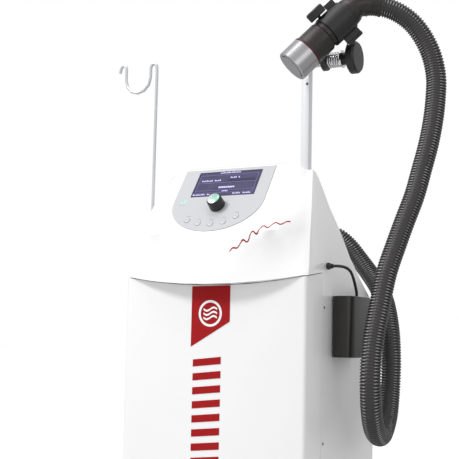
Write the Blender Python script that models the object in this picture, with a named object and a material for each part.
"""Ultrasound therapy trolley: cabinet on castors, hooded control head, hook rod, and a handpiece
held in a tilting cradle on a pole and fed by a thick corrugated hose. Units are metres, the front
faces -Y and the floor is Z = 0."""

import math

import bmesh
import bpy
import numpy as np
from mathutils import Matrix, Vector

# ---------------------------------------------------------------- driving dimensions
SHIFT_X = 0.0242
SHIFT_Y = -0.1735
CAB_W = 0.350
CAB_D = 0.313
SHEET = 0.003
GAP = 0.0003
SEAM_Y = 0.0655
SEAM_Z = 0.742
PLINTH_X = 0.190
PLINTH_Y0 = -0.030
PLINTH_Y1 = 0.350
PLINTH_Z0 = 0.106
PLINTH_Z1 = 0.140
WHEEL_R = 0.0375
WHEEL_W = 0.024
CASTOR_X = 0.155
CASTOR_Y = (0.005, 0.315)
CASTOR_TRAIL = 0.025
LIP_Z = 0.765
LIP_RISE = 0.015
HOSE_D = 0.037
BODY_R = 0.0285
NECK_R = 0.0255
ELBOW_R = 0.0215
CAP_R = 0.0302
FACE_T = -0.076
CAP_T = -0.039
REAR_T = 0.078
PIVOT = (0.150, 0.162, 1.1828)
GRIP = (0.155, 0.0983, 1.2055)
GRIP_AXIS = (0.595, 0.365, 0.716)
GRIP_UP = (-0.539, -0.478, 0.692)
POLE_X = 0.099
POLE_Y = 0.162
POLE_HALF = 0.008
HOOK_X = -0.191
HOOK_Y = 0.100
KNOB_S = 0.053

# ---------------------------------------------------------------- frames
X_AXIS = Vector((1, 0, 0))
Y_AXIS = Vector((0, 1, 0))
Z_AXIS = Vector((0, 0, 1))
PANEL_O = Vector((0, -0.017, 0.858))
PANEL_S = Vector((0, 0.5696, 0.8219))
PANEL_N = Vector((0, -0.8219, 0.5696))


def on_panel(x, s, w=0.0):
    """Point at width x and slope distance s on the inclined face, lifted w off it."""
    return PANEL_O + X_AXIS * x + PANEL_S * s + PANEL_N * w


H_AXIS = Vector(GRIP_AXIS).normalized()
E_UP = (Vector(GRIP_UP) - H_AXIS * Vector(GRIP_UP).dot(H_AXIS)).normalized()
E_OUT = E_UP.cross(H_AXIS).normalized()
if E_OUT.y > 0:
    E_OUT = -E_OUT
GRIP_O = Vector(GRIP)


def on_grip(a, b, t):
    """Point in the handpiece frame: a up-left, b towards the operator, t along the axis."""
    return GRIP_O + E_UP * a + E_OUT * b + H_AXIS * t


# ---------------------------------------------------------------- scene and materials
for old in list(bpy.data.objects):
    bpy.data.objects.remove(old, do_unlink=True)
ROOT = bpy.data.objects.new("trolley", None)
bpy.context.scene.collection.objects.link(ROOT)
ROOT.location = (SHIFT_X, SHIFT_Y, 0)


def make_material(name, color, rough, metal=0.0, glow=None):
    made = bpy.data.materials.new(name)
    made.use_nodes = True
    shader = made.node_tree.nodes["Principled BSDF"]
    shader.inputs["Base Color"].default_value = (*color, 1)
    shader.inputs["Roughness"].default_value = rough
    shader.inputs["Metallic"].default_value = metal
    if glow:
        shader.inputs["Emission Color"].default_value = (*glow, 1)
        shader.inputs["Emission Strength"].default_value = 0.6
    return made


WHITE = make_material("white_gloss_shell", (0.86, 0.86, 0.87), 0.25)
SHELL = make_material("white_panel", (0.82, 0.82, 0.83), 0.35)
OVERLAY = make_material("light_grey_overlay", (0.66, 0.67, 0.69), 0.4)
SCREEN = make_material("violet_screen", (0.05, 0.045, 0.13), 0.15, 0.0, (0.06, 0.05, 0.2))
BLACK = make_material("black_plastic", (0.012, 0.012, 0.013), 0.45)
BODY = make_material("black_anodised", (0.02, 0.018, 0.018), 0.38)
ALU = make_material("turned_aluminium", (0.72, 0.72, 0.73), 0.25, 1.0)
STEEL = make_material("bright_steel", (0.68, 0.68, 0.7), 0.22, 1.0)
GREY = make_material("grey_steel", (0.42, 0.43, 0.44), 0.4, 0.8)
RUBBER = make_material("grey_rubber", (0.1, 0.1, 0.105), 0.75)
PAINT = make_material("light_painted_metal", (0.72, 0.73, 0.74), 0.35)
BOARD = make_material("board_green", (0.02, 0.16, 0.06), 0.5)
CAP = make_material("silver_green_cap", (0.45, 0.62, 0.55), 0.3, 0.7)
TANK = make_material("milky_tank", (0.75, 0.78, 0.78), 0.5)
HOSE = make_material("dark_hose", (0.045, 0.04, 0.04), 0.5)


def add_object(name, data, material, origin=(0, 0, 0)):
    obj = bpy.data.objects.new(name, data)
    bpy.context.scene.collection.objects.link(obj)
    obj.parent = ROOT
    obj.location = origin
    if material:
        data.materials.append(material)
    return obj


def solid(name, shape, material, origin=(0, 0, 0), fix_normals=True):
    """A mesh object from (verts, faces) in cabinet coordinates, its origin at `origin`."""
    verts, faces = shape
    base = Vector(origin)
    data = bpy.data.meshes.new(name)
    data.from_pydata([tuple(Vector(v) - base) for v in verts], [], faces)
    work = bmesh.new()
    work.from_mesh(data)
    bmesh.ops.remove_doubles(work, verts=work.verts, dist=1e-6)
    if fix_normals:
        bmesh.ops.recalc_face_normals(work, faces=work.faces)
    work.to_mesh(data)
    work.free()
    return add_object(name, data, material, origin)


def tool(name, shape):
    """A hidden helper that another object adds or takes away."""
    obj = solid(name, shape, None)
    obj.hide_render = True
    obj.display_type = "WIRE"
    return obj


def combine(obj, other, operation):
    modifier = obj.modifiers.new(other.name, "BOOLEAN")
    modifier.operation = operation
    modifier.solver = "EXACT"
    modifier.object = other
    return obj


def cut(obj, shape):
    return combine(obj, tool(f"{obj.name}_cut{len(obj.modifiers)}", shape), "DIFFERENCE")


def join(obj, shape):
    return combine(obj, tool(f"{obj.name}_add{len(obj.modifiers)}", shape), "UNION")


# ---------------------------------------------------------------- shapes as (verts, faces)
def merged(*shapes):
    verts = []
    faces = []
    for part_verts, part_faces in shapes:
        start = len(verts)
        verts.extend(part_verts)
        faces.extend([tuple(start + i for i in face) for face in part_faces])
    return verts, faces


def loft(loops, closed=False):
    """Skin over loops of equal length; the ends are capped unless the loft closes on itself."""
    count = len(loops[0])
    verts = [Vector(p) for loop in loops for p in loop]
    rows = len(loops)
    faces = []
    for row in range(rows if closed else rows - 1):
        low = row * count
        high = ((row + 1) % rows) * count
        for i in range(count):
            j = (i + 1) % count
            faces.append((low + i, low + j, high + j, high + i))
    if not closed:
        faces.append(tuple(reversed(range(count))))
        faces.append(tuple((rows - 1) * count + i for i in range(count)))
    return verts, faces


def axes_for(direction):
    n = Vector(direction).normalized()
    helper = Z_AXIS if abs(n.z) < 0.9 else X_AXIS
    u = helper.cross(n).normalized()
    return u, n.cross(u), n


def lathe(profile, origin, direction, segments=32, closed=False):
    """Turns (radius, height) points round an axis. A closed profile makes a ring."""
    u, v, n = axes_for(direction)
    base = Vector(origin)
    verts = []
    rows = []
    for radius, height in profile:
        centre = base + n * height
        if radius < 1e-7:
            rows.append([len(verts)] * segments)
            verts.append(centre)
            continue
        rows.append(list(range(len(verts), len(verts) + segments)))
        for i in range(segments):
            angle = 2 * math.pi * i / segments
            verts.append(centre + (u * math.cos(angle) + v * math.sin(angle)) * radius)
    faces = []
    pairs = list(zip(rows, rows[1:]))
    if closed:
        pairs.append((rows[-1], rows[0]))
    for low, high in pairs:
        for i in range(segments):
            j = (i + 1) % segments
            face = list(dict.fromkeys((low[i], low[j], high[j], high[i])))
            if len(face) > 2:
                faces.append(tuple(face))
    return verts, faces


def rod(radius, start, end, segments=24):
    start = Vector(start)
    length = (Vector(end) - start).length
    return lathe([(0, 0), (radius, 0), (radius, length), (0, length)], start, Vector(end) - start, segments)


def prism(outline, low, high, place):
    """Extrudes a 2-D outline between two heights; place(u, v, w) gives the point."""
    return loft([[place(u, v, low) for u, v in outline], [place(u, v, high) for u, v in outline]])


def ring_prism(outer, inner, low, high, place):
    loops = [
        [place(u, v, low) for u, v in outer],
        [place(u, v, high) for u, v in outer],
        [place(u, v, high) for u, v in inner],
        [place(u, v, low) for u, v in inner],
    ]
    return loft(loops, closed=True)


def cup(outer, inner, bottom, floor, top, place):
    loops = [
        [place(u, v, bottom) for u, v in outer],
        [place(u, v, top) for u, v in outer],
        [place(u, v, top) for u, v in inner],
        [place(u, v, floor) for u, v in inner],
    ]
    return loft(loops)


def round_rect(x0, x1, y0, y1, radius, steps=4):
    points = []
    corners = ((x1, y1, 0), (x0, y1, 90), (x0, y0, 180), (x1, y0, 270))
    for cx, cy, start in corners:
        centre_x = cx - radius if start in (0, 270) else cx + radius
        centre_y = cy - radius if start in (0, 90) else cy + radius
        for i in range(steps + 1):
            angle = math.radians(start + 90 * i / steps)
            points.append((centre_x + radius * math.cos(angle), centre_y + radius * math.sin(angle)))
    return points


def box(low, high, edge=0.0):
    """A block, its edges chamfered by `edge`."""
    x0, y0, z0 = low
    x1, y1, z1 = high
    if not edge:
        flat = [(x0, y0), (x1, y0), (x1, y1), (x0, y1)]
        return prism(flat, z0, z1, lambda u, v, w: (u, v, w))
    loops = []
    for z, inset in ((z0, edge), (z0 + edge, 0), (z1 - edge, 0), (z1, edge)):
        outline = round_rect(x0 + inset, x1 - inset, y0 + inset, y1 - inset, edge, 1)
        loops.append([(u, v, z) for u, v in outline])
    return loft(loops)


def upright(u, v, w):
    return Vector((u, v, w))


def across(u, v, w):
    """Outline in Y and Z, extruded along X."""
    return Vector((w, u, v))


def facing(u, v, w):
    """Outline in X and Z, extruded along Y."""
    return Vector((u, w, v))


def smooth_path(points, spacing):
    """Centripetal curve through the points, resampled at even spacing."""
    pts = [Vector(p) for p in points]
    ends = [pts[0] * 2 - pts[1]] + pts + [pts[-1] * 2 - pts[-2]]
    fine = []
    for p0, p1, p2, p3 in zip(ends, ends[1:], ends[2:], ends[3:]):
        t0 = 0.0
        t1 = t0 + max((p1 - p0).length, 1e-6) ** 0.5
        t2 = t1 + max((p2 - p1).length, 1e-6) ** 0.5
        t3 = t2 + max((p3 - p2).length, 1e-6) ** 0.5
        for i in range(24):
            t = t1 + (t2 - t1) * i / 24
            a1 = p0 * ((t1 - t) / (t1 - t0)) + p1 * ((t - t0) / (t1 - t0))
            a2 = p1 * ((t2 - t) / (t2 - t1)) + p2 * ((t - t1) / (t2 - t1))
            a3 = p2 * ((t3 - t) / (t3 - t2)) + p3 * ((t - t2) / (t3 - t2))
            b1 = a1 * ((t2 - t) / (t2 - t0)) + a2 * ((t - t0) / (t2 - t0))
            b2 = a2 * ((t3 - t) / (t3 - t1)) + a3 * ((t - t1) / (t3 - t1))
            fine.append(b1 * ((t2 - t) / (t2 - t1)) + b2 * ((t - t1) / (t2 - t1)))
    fine.append(pts[-1])
    lengths = np.cumsum([0.0] + [(b - a).length for a, b in zip(fine, fine[1:])])
    count = max(2, round(lengths[-1] / spacing))
    marks = np.linspace(0, lengths[-1], count + 1)
    table = np.array([tuple(p) for p in fine])
    out = [Vector([float(np.interp(m, lengths, table[:, k])) for k in range(3)]) for m in marks]
    return out


def tube(path, radius, segments=8):
    """A round bar along a path, its section carried without twist."""
    pts = [Vector(p) for p in path]
    tangents = []
    for i in range(len(pts)):
        ahead = pts[min(i + 1, len(pts) - 1)] - pts[max(i - 1, 0)]
        tangents.append(ahead.normalized())
    u, _, _ = axes_for(tangents[0])
    loops = []
    for point, tangent in zip(pts, tangents):
        u = (u - tangent * u.dot(tangent)).normalized()
        v = tangent.cross(u)
        loops.append(
            [
                point + (u * math.cos(2 * math.pi * k / segments) + v * math.sin(2 * math.pi * k / segments)) * radius
                for k in range(segments)
            ]
        )
    return loft(loops)


def polar_cells(radii, angles, heights, keep, place):
    """Closed solid made of the kept cells of a cylindrical grid, angles in degrees."""
    verts = []
    index = {}
    faces = []

    def vert(i, j, k):
        if (i, j, k) not in index:
            index[i, j, k] = len(verts)
            angle = math.radians(angles[j])
            verts.append(place(radii[i] * math.cos(angle), radii[i] * math.sin(angle), heights[k]))
        return index[i, j, k]

    def kept(i, j, k):
        inside = 0 <= i < len(radii) - 1 and 0 <= j < len(angles) - 1 and 0 <= k < len(heights) - 1
        return inside and keep(i, j, k)

    for i in range(len(radii) - 1):
        for j in range(len(angles) - 1):
            for k in range(len(heights) - 1):
                if not kept(i, j, k):
                    continue
                for axis, step in ((0, -1), (0, 1), (1, -1), (1, 1), (2, -1), (2, 1)):
                    cell = [i, j, k]
                    cell[axis] += step
                    if kept(*cell):
                        continue
                    base = [i, j, k]
                    base[axis] += 1 if step > 0 else 0
                    a, b = [n for n in range(3) if n != axis]
                    corners = []
                    for da, db in ((0, 0), (1, 0), (1, 1), (0, 1)):
                        corner = list(base)
                        corner[a] += da
                        corner[b] += db
                        corners.append(vert(*corner))
                    faces.append(tuple(corners))
    return verts, faces


# ---------------------------------------------------------------- head cover
# Each level: front middle (y, z), front corner (x, y, z), rear (x, y, z), how straight its front is.
HEAD_LEVELS = (
    ((-0.030, 0.765), (0.178, 0.000, 0.780), (0.175, 0.313, 0.742), 0.0),
    ((-0.0305, 0.792), (0.1775, 0.005, 0.797), (0.175, 0.313, 0.750), 0.0),
    ((-0.0262, 0.835), (0.171, 0.021, 0.843), (0.1747, 0.252, 0.788), 0.5),
    ((-0.0205, 0.8530), (0.1695, 0.026, 0.858), (0.174, 0.203, 0.824), 1.0),
    ((0.00864, 0.8950), (0.165, 0.040, 0.895), (0.170, 0.172, 0.862), 1.0),
    ((0.03567, 0.9340), (0.157, 0.060, 0.932), (0.160, 0.140, 0.907), 1.0),
    ((0.06645, 0.9784), (0.149, 0.079, 0.965), (0.152, 0.111, 0.951), 1.0),
    ((0.0735, 0.9812), (0.146, 0.083, 0.9685), (0.148, 0.095, 0.9655), 1.0),
)
FLAT_HALF = 0.100
SIDE_STEPS = (0.0, 0.10, SEAM_Y / CAB_D, (SEAM_Y + 0.0008) / CAB_D, 0.36, 0.52, 0.68, 0.84)


def lip_height(x):
    return LIP_Z + LIP_RISE * (abs(x) / 0.178) ** 2


def front_row(level):
    (mid_y, mid_z), (cx, cy, cz), _, straight = level
    inner = [FLAT_HALF * f for f in (-1, -0.5, 0, 0.5, 1)]
    outer = [FLAT_HALF + (cx - 0.008 - FLAT_HALF) * f for f in (0.25, 0.5, 0.75, 0.9, 1.0)]
    xs = [-x for x in reversed(outer)] + inner + outer
    row = []
    for x in xs:
        bow = (abs(x) / (cx - 0.008)) ** 2
        late = max(0.0, (abs(x) - FLAT_HALF) / (cx - 0.008 - FLAT_HALF)) ** 1.7
        share = straight * late + (1 - straight) * bow
        row.append(Vector((x, mid_y + (cy - mid_y) * share, mid_z + (cz - mid_z) * share)))
    return row


def side_row(level, number):
    _, (cx, cy, cz), (rx, ry, rz), _ = level
    room = min(1.0, (ry - cy) / 0.040)
    start = 0.012 * room
    back = 0.010 * room
    row = []
    for step in SIDE_STEPS:
        y = cy + start + (ry - back - cy - start) * step
        if number <= 1:
            y = max(cy + start, step * CAB_D) if step > 0 else cy + start
            y = min(y, ry - back)
        share = (y - cy) / (ry - cy)
        x = cx + (rx - cx) * share
        z = cz + (rz - cz) * share
        if number <= 1:
            x = cx + (rx - cx) * min(1.0, y / SEAM_Y)
        if number == 0:
            z = 0.780 + 0.0085 * y / SEAM_Y if step <= SIDE_STEPS[2] else SEAM_Z
        if number == 1:
            z = 0.797 if step <= SIDE_STEPS[3] else 0.797 + (0.750 - 0.797) * (y - SEAM_Y) / (ry - SEAM_Y)
        row.append(Vector((x, y, z)))
    row.append(Vector((rx, ry - back, rz if number else SEAM_Z)))
    return row


def head_ring(level, number):
    """One closed loop round the head, starting at the left end of the front."""
    front = front_row(level)
    _, (cx, cy, cz), (rx, ry, rz), _ = level
    side = side_row(level, number)
    count = len(front)
    span = rx - 0.010
    rear_z = rz if number else SEAM_Z
    rear = [Vector((span - 2 * span * i / (count - 1), ry, rear_z)) for i in range(count)]
    room = min(1.0, (ry - cy) / 0.040)
    right = [Vector((cx - 0.0022 * room, cy + 0.0045 * room, cz))] + side
    right.append(Vector((rx - 0.003 * room, ry - 0.003 * room, rear_z)))
    left = [Vector((-p.x, p.y, p.z)) for p in reversed(right)]
    return front + right + rear + left, count, len(right)


def head_rim(ring):
    """The rim turned inwards, which closes the underside of the lip over the front panel."""
    inner = []
    for p in ring:
        if p.y < 0.012:
            x = p.x * 0.975
            y = max(p.y + 0.008, 0.0045)
            inner.append(Vector((x, y, lip_height(x) if abs(p.x) < 0.172 else p.z)))
        elif p.y > CAB_D - 0.001:
            inner.append(Vector((p.x * 0.985, p.y - 0.006, p.z)))
        else:
            inner.append(Vector((math.copysign(abs(p.x) - 0.006, p.x), min(p.y, CAB_D - 0.012), p.z)))
    return inner


def head_surface():
    rings = []
    for number, level in enumerate(HEAD_LEVELS):
        ring, front_count, side_count = head_ring(level, number)
        if number == 0:
            rings.append(head_rim(ring))
        rings.append(ring)
    count = len(rings[0])
    verts = [p for ring in rings for p in ring]
    faces = []
    for row in range(len(rings) - 1):
        for i in range(count):
            j = (i + 1) % count
            faces.append((row * count + i, row * count + j, (row + 1) * count + j, (row + 1) * count + i))
    top = (len(rings) - 1) * count
    spine = len(verts)
    for i in range(front_count):
        front = verts[top + i]
        rear = verts[top + front_count + side_count + front_count - 1 - i]
        middle = (front + rear) / 2
        verts.append(Vector((middle.x * 0.985, middle.y, max(front.z, rear.z) + 0.0008)))
    for i in range(front_count - 1):
        back = top + front_count + side_count + front_count - 1 - i
        faces.append((top + i, top + i + 1, spine + i + 1, spine + i))
        faces.append((spine + i, spine + i + 1, back - 1, back))
    right = [top + front_count - 1 + k for k in range(side_count + 2)]
    left = [top + 2 * front_count + side_count - 1 + k for k in range(side_count + 1)] + [top]
    for chain, hub in ((right, spine + front_count - 1), (left, spine)):
        for a, b in zip(chain, chain[1:]):
            faces.append((a, b, hub))
    return verts, faces


def head_side_x(z):
    """Half width of the head's side wall at a height, for parts fixed to it."""
    zs = [level[1][2] for level in HEAD_LEVELS]
    xs = [level[1][0] for level in HEAD_LEVELS]
    return float(np.interp(z, zs, xs))


def rear_slope_z(y):
    ys = [level[2][1] for level in reversed(HEAD_LEVELS)]
    zs = [level[2][2] for level in reversed(HEAD_LEVELS)]
    return float(np.interp(y, ys, zs))


KEYS = ((-0.050, 0.022), (-0.026, 0.0145), (-0.001, 0.0120), (0.023, 0.0155), (0.044, 0.0270))
KEY_R = 0.0055
GLAND_Y = 0.235
GLAND_X = 0.030
REAR_TANGENT = Vector((0, 0.8067, -0.591)).normalized()
REAR_NORMAL = Vector((0, 0.591, 0.8067)).normalized()


def gland_point(h=0.0):
    base = Vector((GLAND_X, GLAND_Y, rear_slope_z(GLAND_Y)))
    return base + REAR_NORMAL * h


def build_head():
    verts, faces = head_surface()
    shell = solid("head_cover", (verts, faces), WHITE)
    centre = Vector((0, 0.13, 0.82))
    middle = shell.data.polygons[len(shell.data.polygons) // 3]
    outward = middle.normal.dot(Vector(middle.center) - centre)
    if outward < 0:
        shell.data.flip_normals()
    thick = shell.modifiers.new("wall", "SOLIDIFY")
    thick.thickness = SHEET
    thick.offset = -1
    thick.use_even_offset = False
    openings = [
        prism(round_rect(-0.060, 0.060, 0.080, 0.133, 0.001, 1), -0.010, 0.004, on_panel),
        lathe([(0, -0.01), (0.0036, -0.01), (0.0036, 0.006), (0, 0.006)], on_panel(0, KNOB_S), PANEL_N, 20),
        lathe([(0, -0.012), (0.0125, -0.012), (0.0125, 0.012), (0, 0.012)], gland_point(), REAR_NORMAL, 32),
    ]
    for x, s in KEYS:
        openings.append(
            lathe([(0, -0.01), (0.003, -0.01), (0.003, 0.006), (0, 0.006)], on_panel(x, s), PANEL_N, 12)
        )
    cut(shell, merged(*openings))


def horseshoe(half, top, shoulder, depth, centre, steps=22):
    points = [(centre + half, top), (centre - half, top)]
    for i in range(steps + 1):
        angle = math.pi * i / steps
        points.append((centre - half * math.cos(angle), shoulder - depth * math.sin(angle)))
    return points


def build_controls():
    outline = horseshoe(0.0905, 0.1435, 0.066, 0.0705, -0.0035)
    overlay = solid("control_overlay", prism(outline, GAP, 0.0013, on_panel), OVERLAY)
    holes = [
        prism(round_rect(-0.0634, 0.0634, 0.0764, 0.1364, 0.001, 1), -0.001, 0.004, on_panel),
        lathe([(0, -0.002), (0.0045, -0.002), (0.0045, 0.006), (0, 0.006)], on_panel(0, KNOB_S), PANEL_N, 20),
    ]
    for x, s in KEYS:
        profile = [(0, -0.002), (KEY_R + 0.0005, -0.002), (KEY_R + 0.0005, 0.006), (0, 0.006)]
        holes.append(lathe(profile, on_panel(x, s), PANEL_N, 20))
    cut(overlay, merged(*holes))
    pane = round_rect(-0.0630, 0.0630, 0.0768, 0.1360, 0.001, 1)
    solid("display_window", prism(pane, GAP, 0.0014, on_panel), SCREEN)
    module = round_rect(-0.066, 0.066, 0.074, 0.138, 0.002, 1)
    solid("display_module", prism(module, -0.0125, -0.0034, on_panel), GREY)
    shaft = [(0, -0.014), (0.003, -0.014), (0.003, 0.0160), (0, 0.0160)]
    solid("encoder_shaft", lathe(shaft, on_panel(0, KNOB_S), PANEL_N, 20), STEEL, on_panel(0, KNOB_S))
    knob = [
        (0.0033, 0.0022),
        (0.0142, 0.0022),
        (0.0142, 0.0040),
        (0.0132, 0.0185),
        (0.0122, 0.0198),
        (0, 0.0198),
        (0, 0.0164),
        (0.0033, 0.0164),
    ]
    turned = lathe(knob, on_panel(0, KNOB_S), PANEL_N, 36, closed=True)
    solid("encoder_knob", turned, BLACK, on_panel(0, KNOB_S))
    face = [(0, 0.0201), (0.0112, 0.0201), (0.0112, 0.0208), (0.0104, 0.0212), (0, 0.0212)]
    solid("knob_cap", lathe(face, on_panel(0, KNOB_S), PANEL_N, 32), CAP, on_panel(0, KNOB_S))
    for number, (x, s) in enumerate(KEYS, 1):
        key = [(0, -0.006), (0.0025, -0.006), (0.0025, 0.0009), (KEY_R, 0.0009), (KEY_R, 0.0020)]
        key += [(KEY_R - 0.0012, 0.0025), (0, 0.0026)]
        solid(f"menu_key_{number}", lathe(key, on_panel(x, s), PANEL_N, 18), OVERLAY, on_panel(x, s))


# ---------------------------------------------------------------- cabinet
def front_path(inset):
    half = CAB_W / 2 - inset
    corner = 0.006
    path = [(-half, SEAM_Y), (-half, 0.035), (-half, inset + corner)]
    for i in range(1, 4):
        angle = math.radians(90 * i / 3)
        path.append((-half + corner - corner * math.cos(angle), inset + corner - corner * math.sin(angle)))
    path += [(x * 1.0, inset) for x in (-0.12, -0.07, -0.03, 0.03, 0.07, 0.12)]
    right = [(-x, y) for x, y in reversed(path[: 6])]
    return path + right


def front_top(x, y):
    if y > 0.0065:
        return 0.7793 + 0.0085 * y / SEAM_Y - 0.0006
    return lip_height(x) - 0.0008


def build_cabinet():
    outer = front_path(0.0)
    inner = front_path(SHEET)
    tops = [front_top(x, y) for x, y in outer]
    bottom = PLINTH_Z1 + GAP
    loops = []
    for (ox, oy), (ix, iy), top in zip(outer, inner, tops):
        loops.append([(ox, oy, bottom), (ox, oy, top), (ix, iy, top), (ix, iy, bottom)])
    solid("front_panel", loft(loops), SHELL)
    y0 = SEAM_Y + 0.0008
    for name, x0, x1 in (("left_side_panel", -0.175, -0.172), ("right_side_panel", 0.172, 0.175)):
        solid(name, box((x0, y0, bottom), (x1, CAB_D, SEAM_Z - 0.0006)), SHELL)
    rear = solid("rear_panel", box((-0.1716, 0.310, bottom), (0.1716, CAB_D, SEAM_Z - 0.0006)), SHELL)
    openings = [rod(0.052, (0, 0.30, 0.52), (0, 0.32, 0.52), 36)]
    openings.append(box((0.0670, 0.30, 0.1735), (0.1030, 0.32, 0.2005)))
    openings.append(box((0.0330, 0.30, 0.1755), (0.0450, 0.32, 0.1985)))
    for row in range(5):
        z = 0.62 + 0.016 * row
        openings.append(box((-0.09, 0.30, z), (0.09, 0.32, z + 0.005)))
    cut(rear, merged(*openings))
    plate = round_rect(-PLINTH_X, PLINTH_X, PLINTH_Y0, PLINTH_Y1, 0.022, 4)
    small = round_rect(-PLINTH_X + 0.003, PLINTH_X - 0.003, PLINTH_Y0 + 0.003, PLINTH_Y1 - 0.003, 0.020, 4)
    rows = ((PLINTH_Z0, small), (PLINTH_Z0 + 0.003, plate), (PLINTH_Z1 - 0.003, plate), (PLINTH_Z1, small))
    tray = solid("base_tray", loft([[(u, v, z) for u, v in outline] for z, outline in rows]), SHELL)
    centre_y = (PLINTH_Y0 + PLINTH_Y1) / 2
    hollow = [
        box((-0.115, PLINTH_Y0 + 0.006, PLINTH_Z0 - 0.01), (0.115, PLINTH_Y1 - 0.006, PLINTH_Z1 - 0.008)),
    ]
    cut(tray, merged(*hollow))
    wide = box((-PLINTH_X + 0.006, centre_y - 0.11, PLINTH_Z0 - 0.012), (PLINTH_X - 0.006, centre_y + 0.11, 0.1315))
    cut(tray, wide)
    wells = []
    for x in (-CASTOR_X, CASTOR_X):
        for y in CASTOR_Y:
            wells.append(rod(0.0064, (x, y, PLINTH_Z0 - 0.01), (x, y, 0.131), 20))
    cut(tray, merged(*wells))


def build_castor(tag, x, y):
    pin = (x, y, 0)
    def slanted(u, v, w):
        lean = CASTOR_TRAIL * max(0.0, (0.080 - v) / (0.080 - WHEEL_R))
        return Vector((x + u, y + w + min(lean, CASTOR_TRAIL), v))

    lines = (-0.012, 0.012)
    verts, faces = [], []
    columns = [-0.020, -0.0145, 0.0145, 0.020]
    heights = [0.024, WHEEL_R, 0.080, 0.083, 0.090]
    index = {}

    def vert(i, k, m):
        if (i, k, m) not in index:
            index[i, k, m] = len(verts)
            verts.append(slanted(columns[i], heights[k], lines[m]))
        return index[i, k, m]

    def kept(i, k):
        return 0 <= i < 3 and 0 <= k < 4 and (i != 1 or k == 3)

    for i in range(3):
        for k in range(4):
            if not kept(i, k):
                continue
            for m in (0, 1):
                faces.append((vert(i, k, m), vert(i + 1, k, m), vert(i + 1, k + 1, m), vert(i, k + 1, m)))
            for di, dk, a, b in (
                (-1, 0, (i, k), (i, k + 1)),
                (1, 0, (i + 1, k), (i + 1, k + 1)),
                (0, -1, (i, k), (i + 1, k)),
                (0, 1, (i, k + 1), (i + 1, k + 1)),
            ):
                if not kept(i + di, k + dk):
                    faces.append((vert(*a, 0), vert(*b, 0), vert(*b, 1), vert(*a, 1)))
    fork = solid(f"castor_{tag}_fork", (verts, faces), GREY, pin)
    stem = [(0, 0.084), (0.017, 0.084), (0.017, 0.1005), (0.006, 0.1005), (0.006, 0.1265), (0, 0.1265)]
    join(fork, lathe(stem, pin, Z_AXIS, 24))
    hub = (x, y + CASTOR_TRAIL, WHEEL_R)
    cut(fork, rod(0.0043, (x - 0.03, hub[1], WHEEL_R), (x + 0.03, hub[1], WHEEL_R), 16))
    half = WHEEL_W / 2
    tyre = [
        (0.0043, -half),
        (0.013, -half),
        (0.015, -half + 0.002),
        (0.028, -half + 0.002),
        (WHEEL_R - 0.004, -half),
        (WHEEL_R, -half + 0.005),
        (WHEEL_R, half - 0.005),
        (WHEEL_R - 0.004, half),
        (0.028, half - 0.002),
        (0.015, half - 0.002),
        (0.013, half),
        (0.0043, half),
    ]
    solid(f"castor_{tag}_wheel", lathe(tyre, hub, X_AXIS, 24, closed=True), RUBBER, hub)
    pinned = [(0, -0.0245), (0.0065, -0.0245), (0.0065, -0.0204), (0.004, -0.0204), (0.004, 0.0225), (0, 0.0225)]
    solid(f"castor_{tag}_axle", lathe(pinned, hub, X_AXIS, 16), STEEL, hub)


def build_brake(tag, x, y):
    hinge = (x, y + 0.0215, 0.0865)
    outline = [(y + 0.0180, 0.0835), (y + 0.0180, 0.0892), (y + 0.0260, 0.0915), (y + 0.0640, 0.0885)]
    outline += [(y + 0.0645, 0.0855), (y + 0.0260, 0.0860), (y + 0.0240, 0.0835)]
    solid(f"brake_pedal_{tag}", prism(outline, x - 0.013, x + 0.013, across), RUBBER, hinge)


def gear_outline(teeth, inner, outer, fill, steps=3):
    points = []
    for tooth in range(teeth):
        base = 360 * tooth / teeth
        width = 360 / teeth * fill
        for i in range(steps + 1):
            angle = math.radians(base + width * i / steps)
            points.append((outer * math.cos(angle), outer * math.sin(angle)))
        for i in range(steps + 1):
            angle = math.radians(base + width + (360 / teeth - width) * (0.1 + 0.8 * i / steps))
            points.append((inner * math.cos(angle), inner * math.sin(angle)))
    return points


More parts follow.
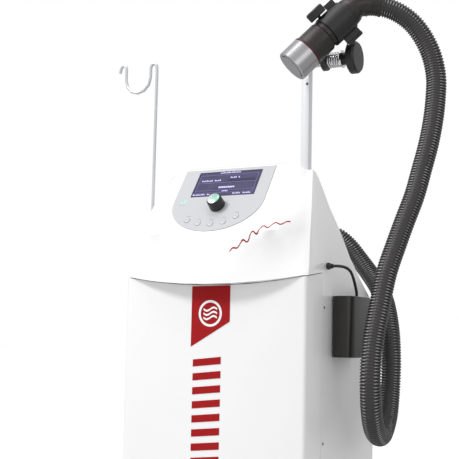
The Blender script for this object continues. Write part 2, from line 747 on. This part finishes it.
def build_internals():
    floor = PLINTH_Z1 + GAP
    solid("power_supply", box((-0.150, 0.060, floor), (-0.030, 0.250, 0.205), 0.003), GREY)
    solid("generator_board", box((-0.1716, 0.085, 0.300), (-0.150, 0.235, 0.560), 0.002), BOARD)
    solid("coolant_tank", cup(
        round_rect(0.030, 0.140, 0.050, 0.180, 0.015, 3),
        round_rect(0.034, 0.136, 0.054, 0.176, 0.011, 3),
        floor, floor + 0.004, 0.300, upright), TANK)
    pump = [(0, 0), (0.028, 0), (0.028, 0.012), (0.022, 0.014), (0.022, 0.060), (0.012, 0.064), (0, 0.064)]
    solid("coolant_pump", lathe(pump, (0.070, 0.235, floor), Z_AXIS, 28), BLACK)
    fins = []
    for i in range(16):
        x = -0.060 + 0.0080 * i
        if i:
            fins += [(x, 0.2650), (x, 0.2810)]
        else:
            fins += [(x, 0.2810)]
        fins += [(x + 0.0036, 0.2810)]
        if i < 15:
            fins += [(x + 0.0036, 0.2650)]
    fins += [(0.0636, 0.2600), (-0.060, 0.2600)]
    solid("radiator", prism(fins, 0.455, 0.585, lambda u, v, w: Vector((u, v, w))), ALU)
    angles = [360 * i / 40 for i in range(40)]
    round_hole = [(0.0545 * math.cos(math.radians(a)), 0.52 + 0.0545 * math.sin(math.radians(a))) for a in angles]
    square = []
    for a in angles:
        c, s = math.cos(math.radians(a)), math.sin(math.radians(a))
        reach = 0.060 / max(abs(c), abs(s))
        square.append((reach * c, 0.52 + reach * s))
    solid("fan_housing", ring_prism(square, round_hole, 0.2830, 0.3097, facing), BLACK)
    blades = gear_outline(7, 0.020, 0.052, 0.42)

    def twisted(u, v, w):
        angle = math.radians((w - 0.288) * 1800)
        c, s = math.cos(angle), math.sin(angle)
        return Vector((u * c - v * s, w, 0.52 + u * s + v * c))

    rows = [[twisted(u, v, w) for u, v in blades] for w in (0.286, 0.294, 0.302)]
    solid("fan_rotor", loft(rows), BLACK, (0, 0.296, 0.52))
    inlet = [(0.0675, 0.174), (0.1025, 0.174), (0.1025, 0.200), (0.0675, 0.200)]
    block = solid("mains_inlet", prism(inlet, 0.2850, 0.3150, facing), BLACK)
    join(block, box((0.0600, 0.3134, 0.1690), (0.1100, 0.3160, 0.2050)))
    cut(block, box((0.0730, 0.2980, 0.1780), (0.0970, 0.3300, 0.1960)))
    tilt = math.radians(-8)
    centre = Vector((0.039, 0.3120, 0.187))
    outline = []
    for u, v in ((-0.003, -0.010), (0.003, -0.010), (0.0042, 0), (0.003, 0.010), (-0.003, 0.010)):
        outline.append((centre.y + u * math.cos(tilt) - v * math.sin(tilt), centre.z + u * math.sin(tilt) + v * math.cos(tilt)))
    solid("power_rocker", prism(outline, 0.0338, 0.0442, across), BLACK, centre)


# ---------------------------------------------------------------- rods, pole and holder
def hook_path():
    x, y = HOOK_X, HOOK_Y
    pts = [(x, y, 0.8105), (x, y, 1.000), (x, y, 1.185)]
    for angle in (30, 60, 90, 120, 150, 180):
        a = math.radians(angle)
        pts.append((x - 0.0072 + 0.0072 * math.cos(a), y, 1.192 + 0.0072 * math.sin(a) * 1.2))
    left = x - 0.0144
    pts.append((left, y, 1.176))
    mid = left - 0.0285
    for angle in (0, 30, 60, 90, 120, 150, 180):
        a = math.radians(angle)
        pts.append((mid + 0.0285 * math.cos(a), y, 1.1745 - 0.0285 * math.sin(a)))
    end = mid - 0.0285
    pts.append((end, y, 1.186))
    for angle in (0, 40, 80, 120, 155):
        a = math.radians(angle)
        pts.append((end - 0.0065 + 0.0065 * math.cos(a), y, 1.197 + 0.0072 * math.sin(a)))
    pts.append((end - 0.0155, y, 1.190))
    return pts


def build_uprights():
    solid("hook_rod", tube(hook_path(), 0.003, 10), PAINT)
    low, high = 0.802, 0.846
    back_low = -head_side_x(low) - 0.0012
    back_high = -head_side_x(high) - 0.0012
    outline = [(back_low, low), (back_high, high), (-0.2000, high), (-0.2000, low)]
    socket = solid("hook_socket", prism(outline, HOOK_Y - 0.010, HOOK_Y + 0.010, facing), PAINT)
    cut(socket, rod(0.0034, (HOOK_X, HOOK_Y, 0.8100), (HOOK_X, HOOK_Y, 0.87), 16))
    foot_y0, foot_y1 = POLE_Y - 0.020, POLE_Y + 0.020
    x0, x1 = POLE_X - 0.014, POLE_X + 0.014
    outline = [(foot_y0, rear_slope_z(foot_y0) + 0.0010), (0.172, rear_slope_z(0.172) + 0.0010)]
    outline += [(foot_y1, rear_slope_z(foot_y1) + 0.0010), (foot_y1, 0.885), (foot_y0 + 0.003, 0.9200), (foot_y0, 0.9200)]
    foot = solid("pole_foot", prism(outline, x0, x1, across), PAINT)
    hole = round_rect(POLE_X - POLE_HALF - GAP, POLE_X + POLE_HALF + GAP, POLE_Y - POLE_HALF - GAP, POLE_Y + POLE_HALF + GAP, 0.002, 2)
    cut(foot, prism(hole, 0.8900, 0.95, upright))
    section = round_rect(POLE_X - POLE_HALF, POLE_X + POLE_HALF, POLE_Y - POLE_HALF, POLE_Y + POLE_HALF, 0.002, 2)
    pole = solid("pole", prism(section, 0.8903, PIVOT[2] + 0.0145, upright), PAINT)
    cut(pole, rod(0.0043, (POLE_X - 0.03, POLE_Y, PIVOT[2]), (POLE_X + 0.03, POLE_Y, PIVOT[2]), 20))
    outer = round_rect(0.1753, 0.2150, 0.100, 0.200, 0.016, 5)
    inner = round_rect(0.1808, 0.2095, 0.1055, 0.1945, 0.0105, 5)
    solid("accessory_holder", cup(outer, inner, 0.647, 0.651, 0.751, upright), BLACK)
    gland = [(0, 0), (0.0060, 0), (0.0060, 0.004), (0.0042, 0.006), (0.0042, 0.010), (0, 0.010)]
    solid("lead_gland", lathe(gland, (0.1784, 0.078, 0.800), X_AXIS, 16), BLACK)
    route = [(0.1889, 0.078, 0.800), (0.1960, 0.0782, 0.800), (0.2070, 0.0840, 0.7985), (0.2122, 0.0960, 0.7930)]
    route += [(0.2122, 0.1120, 0.7810), (0.2122, 0.1230, 0.7660), (0.2122, 0.1275, 0.7580), (0.2122, 0.1280, 0.7516)]
    solid("holder_lead", tube(smooth_path(route, 0.006), 0.0025, 8), BLACK)


# ---------------------------------------------------------------- cradle, pivot and handpiece
SHELL_R0 = 0.0260
SHELL_R1 = 0.0290
FLANGE_R = 0.0385
STRAP_PIN_A = -0.0405
T_LOW, T_HINGE, T_MID, T_FLANGE, T_HIGH = 0.013, 0.028, 0.039, 0.0415, 0.060


def cradle_point(a, b, t):
    return on_grip(a, b, t)


def half_shell(back):
    """Half of the split clamp. Angles run from +a (0) through +b (90), the operator side."""
    heights = [T_LOW, T_HINGE, T_MID, T_FLANGE, T_HIGH]
    radii = [SHELL_R0, SHELL_R1, FLANGE_R]
    if back:
        angles = [180.7, 185.2] + [198 + 18 * i for i in range(9)] + [354.8, 359.3, 366, 374, 382]

        def keep(i, j, k):
            if i == 0:
                return angles[j] < 359 or k <= 1
            low_flange = j == 0 and k >= 1
            high_flange = angles[j] > 354 and angles[j] < 359 and k == 3
            return low_flange or high_flange
    else:
        angles = [0.7, 5.2, 12, 22.7] + [36 + 18 * i for i in range(8)] + [174.8, 179.3]

        def keep(i, j, k):
            if i == 0:
                return k > 1 or angles[j] > 22
            low_flange = j == len(angles) - 2 and k >= 1
            high_flange = j == 0 and k == 3
            return low_flange or high_flange

    return polar_cells(radii, angles, heights, keep, cradle_point)


def knuckle(t0, t1, radius=0.0038):
    return rod(radius, on_grip(STRAP_PIN_A, 0, t0), on_grip(STRAP_PIN_A, 0, t1), 20)


def stadium(p, q, rp, rq, steps=8):
    """Outline round two circles in a plane, for a tapering link."""
    p = Vector(p)
    q = Vector(q)
    d = (q - p).normalized()
    base = math.atan2(d.y, d.x)
    points = []
    for centre, radius, start in ((q, rq, base - math.pi / 2), (p, rp, base + math.pi / 2)):
        for i in range(steps + 1):
            a = start + math.pi * i / steps
            points.append((centre.x + radius * math.cos(a), centre.y + radius * math.sin(a)))
    return points


def build_cradle():
    pivot = Vector(PIVOT)
    shell = solid("cradle_shell", half_shell(True), BLACK, pivot)
    ear_x = PIVOT[0] - 0.0190
    ear = prism(stadium((PIVOT[1], PIVOT[2]), (0.1265, 1.2310), 0.018, 0.013), ear_x, ear_x + 0.008, across)
    link = tool("cradle_ear", ear)
    boss = prism(stadium((0.1275, 1.2300), (0.1265, 1.2310), 0.0115, 0.0115), ear_x + 0.0010, ear_x + 0.0210, across)
    combine(link, tool("cradle_ear_boss", boss), "UNION")
    combine(link, tool("cradle_ear_bore", rod(0.0275, on_grip(0, 0, -0.12), on_grip(0, 0, 0.15), 48)), "DIFFERENCE")
    combine(shell, link, "UNION")
    join(shell, knuckle(T_HINGE, 0.0372))
    join(shell, knuckle(0.0508, T_HIGH))
    drills = [
        rod(0.0045, (ear_x - 0.02, PIVOT[1], PIVOT[2]), (ear_x + 0.03, PIVOT[1], PIVOT[2]), 20),
        rod(0.0022, on_grip(STRAP_PIN_A, 0, 0.015), on_grip(STRAP_PIN_A, 0, 0.08), 16),
        rod(0.0034, on_grip(0.020, 0, 0.022), on_grip(0.06, 0, 0.022), 16),
    ]
    cut(shell, knuckle(0.0374, 0.0506, 0.0043))
    cut(shell, merged(*drills))
    strap = solid("cradle_strap", half_shell(False), BLACK, on_grip(STRAP_PIN_A, 0, 0.044))
    join(strap, knuckle(0.0378, 0.0502))
    cut(strap, merged(knuckle(0.0200, 0.0375, 0.0043), knuckle(0.0505, 0.0700, 0.0043)))
    cut(strap, rod(0.0022, on_grip(STRAP_PIN_A, 0, 0.015), on_grip(STRAP_PIN_A, 0, 0.08), 16))
    pin_shape = rod(0.0018, on_grip(STRAP_PIN_A, 0, 0.0265), on_grip(STRAP_PIN_A, 0, 0.0615), 12)
    solid("strap_pin", pin_shape, STEEL, on_grip(STRAP_PIN_A, 0, 0.044))
    knob_base = on_grip(0.0, 0, 0.022)
    lobes = []
    for radius, height in ((0.0155, 0.0312), (0.0172, 0.0325), (0.0172, 0.0450), (0.0150, 0.0470)):
        ring = []
        u, v, n = axes_for(E_UP)
        for i in range(48):
            angle = 2 * math.pi * i / 48
            r = radius * (1 + 0.035 * math.cos(8 * angle))
            ring.append(knob_base + n * height + (u * math.cos(angle) + v * math.sin(angle)) * r)
        lobes.append(ring)
    knob = solid("cradle_knob", loft(lobes), BLACK, knob_base)
    join(knob, lathe([(0, 0.0262), (0.003, 0.0262), (0.003, 0.036), (0, 0.036)], knob_base, E_UP, 16))


def build_pivot():
    px, y, z = PIVOT
    bolt = [
        (0, -0.0655),
        (0.0072, -0.0655),
        (0.0072, -0.0595),
        (0.0040, -0.0595),
        (0.0040, -0.0427),
        (0.0095, -0.0427),
        (0.0095, -0.0194),
        (0.0040, -0.0194),
        (0.0040, 0.0435),
        (0, 0.0435),
    ]
    solid("pivot_bolt", lathe(bolt, (px, y, z), X_AXIS, 24), STEEL, PIVOT)
    coil = []
    turns, steps = 5, 12
    for i in range(turns * steps + 1):
        angle = 2 * math.pi * i / steps
        x = px - 0.0090 + 0.0222 * i / (turns * steps)
        coil.append((x, y + 0.0128 * math.cos(angle), z + 0.0128 * math.sin(angle)))
    solid("tilt_spring", tube(coil, 0.0015, 5), STEEL, (px + 0.004, y, z))
    ring = [(0.0046, 0.0172), (0.0160, 0.0172), (0.0160, 0.0200), (0.0046, 0.0200)]
    solid("spring_washer", lathe(ring, (px, y, z), X_AXIS, 24, closed=True), STEEL, (px + 0.0186, y, z))
    wheel = [
        (0.0045, 0.0203),
        (0.0110, 0.0203),
        (0.0115, 0.0290),
        (0.0240, 0.0320),
        (0.0290, 0.0350),
        (0.0290, 0.0460),
        (0.0260, 0.0495),
        (0, 0.0500),
        (0, 0.0472),
        (0.0045, 0.0472),
    ]
    solid("hand_wheel", lathe(wheel, (px, y, z), X_AXIS, 40, closed=True), BLACK, (px + 0.035, y, z))


FLAT = Vector((0.852, 0.523, 0)).normalized()
BEND_N = (FLAT * H_AXIS.z - Z_AXIS * H_AXIS.dot(FLAT)).normalized()
BEND_R = 0.030
BEND_STOP = math.radians(50)
END_DIR = (H_AXIS * math.cos(BEND_STOP) + BEND_N * math.sin(BEND_STOP)).normalized()


def bend_point(angle):
    return on_grip(0, 0, REAR_T) + H_AXIS * (BEND_R * math.sin(angle)) + BEND_N * (BEND_R * (1 - math.cos(angle)))


HAND_END = bend_point(BEND_STOP) + END_DIR * 0.004


def build_handpiece():
    grip = [
        (0, CAP_T + GAP),
        (0.0299, CAP_T + GAP),
        (0.0299, CAP_T + 0.0035),
        (0.0291, CAP_T + 0.0045),
        (BODY_R, CAP_T + 0.0060),
        (BODY_R, 0.0020),
        (NECK_R, 0.0055),
        (NECK_R, REAR_T - 0.010),
        (NECK_R - 0.0010, REAR_T - 0.004),
        (ELBOW_R + 0.0008, REAR_T),
        (0, REAR_T),
    ]
    body = solid("handpiece_body", lathe(grip, GRIP_O, H_AXIS, 40), BODY, GRIP_O)
    path = [on_grip(0, 0, REAR_T - 0.016), on_grip(0, 0, REAR_T)]
    path += [bend_point(BEND_STOP * i / 6) for i in range(1, 7)] + [HAND_END]
    join(body, tube(path, ELBOW_R, 28))
    head = [
        (0.0238, FACE_T + 0.0015),
        (0.0252, FACE_T),
        (CAP_R - 0.0012, FACE_T),
        (CAP_R, FACE_T + 0.0012),
        (CAP_R, CAP_T),
        (0, CAP_T),
        (0, FACE_T + 0.0040),
        (0.0238, FACE_T + 0.0040),
    ]
    solid("treatment_head", lathe(head, GRIP_O, H_AXIS, 48, closed=True), ALU, GRIP_O)
    disc = [(0, FACE_T - 0.0006), (0.0233, FACE_T - 0.0006), (0.0233, FACE_T + 0.0037), (0, FACE_T + 0.0037)]
    solid("transducer_disc", lathe(disc, GRIP_O, H_AXIS, 40), ALU, GRIP_O)


HOSE_ROUTE = (
    (0.033, 0.275, 0.845),
    (0.048, 0.296, 0.869),
    (0.075, 0.309, 0.881),
    (0.102, 0.315, 0.874),
    (0.124, 0.319, 0.855),
    (0.142, 0.321, 0.832),
    (0.163, 0.319, 0.806),
    (0.185, 0.307, 0.780),
    (0.204, 0.292, 0.751),
    (0.217, 0.277, 0.718),
    (0.2265, 0.263, 0.680),
    (0.2315, 0.253, 0.632),
    (0.2325, 0.243, 0.584),
    (0.235, 0.222, 0.543),
    (0.239, 0.180, 0.515),
    (0.245, 0.132, 0.527),
    (0.251, 0.099, 0.560),
    (0.254, 0.085, 0.602),
    (0.255, 0.084, 0.640),
    (0.257, 0.090, 0.680),
    (0.262, 0.101, 0.727),
    (0.269, 0.118, 0.790),
    (0.279, 0.136, 0.838),
    (0.290, 0.151, 0.882),
    (0.302, 0.166, 0.927),
    (0.3105, 0.179, 0.973),
    (0.3195, 0.190, 1.020),
    (0.3255, 0.199, 1.067),
    (0.3280, 0.204, 1.106),
    (0.3285, 0.205, 1.142),
    (0.3220, 0.201, 1.180),
    (0.3090, 0.193, 1.213),
    (0.2910, 0.182, 1.240),
    (0.2670, 0.167, 1.259),
)


def build_hose():
    base = [(0.0122, -0.0100), (0.0122, 0.0006), (0.0205, 0.0006), (0.0205, 0.0120), (0.0190, 0.0140)]
    gland = [(0, -0.0100)] + base + [(0, 0.0140)]
    solid("hose_gland", lathe(gland, gland_point(), REAR_NORMAL, 32), BLACK, gland_point())
    inner = [gland_point(0.026)] + [Vector(p) for p in HOSE_ROUTE] + [HAND_END + END_DIR * 0.016]
    route = [gland_point(0.0140 + GAP)] + smooth_path(inner, 0.027) + [HAND_END + END_DIR * GAP]
    data = bpy.data.curves.new("hose", "CURVE")
    data.dimensions = "3D"
    spline = data.splines.new("POLY")
    spline.points.add(len(route) - 1)
    for point, place in zip(spline.points, route):
        point.co = (*place, 1)
    data.bevel_depth = HOSE_D / 2
    data.bevel_resolution = 3
    data.use_fill_caps = True
    add_object("hose", data, HOSE)


build_cabinet()
for castor_tag, castor_x, castor_y in (
    ("fl", -CASTOR_X, CASTOR_Y[0]),
    ("fr", CASTOR_X, CASTOR_Y[0]),
    ("rl", -CASTOR_X, CASTOR_Y[1]),
    ("rr", CASTOR_X, CASTOR_Y[1]),
):
    build_castor(castor_tag, castor_x, castor_y)
    if castor_tag in ("fl", "fr"):
        build_brake(castor_tag, castor_x, castor_y)
build_internals()
build_head()
build_controls()
build_uprights()
build_cradle()
build_pivot()
build_handpiece()
build_hose()
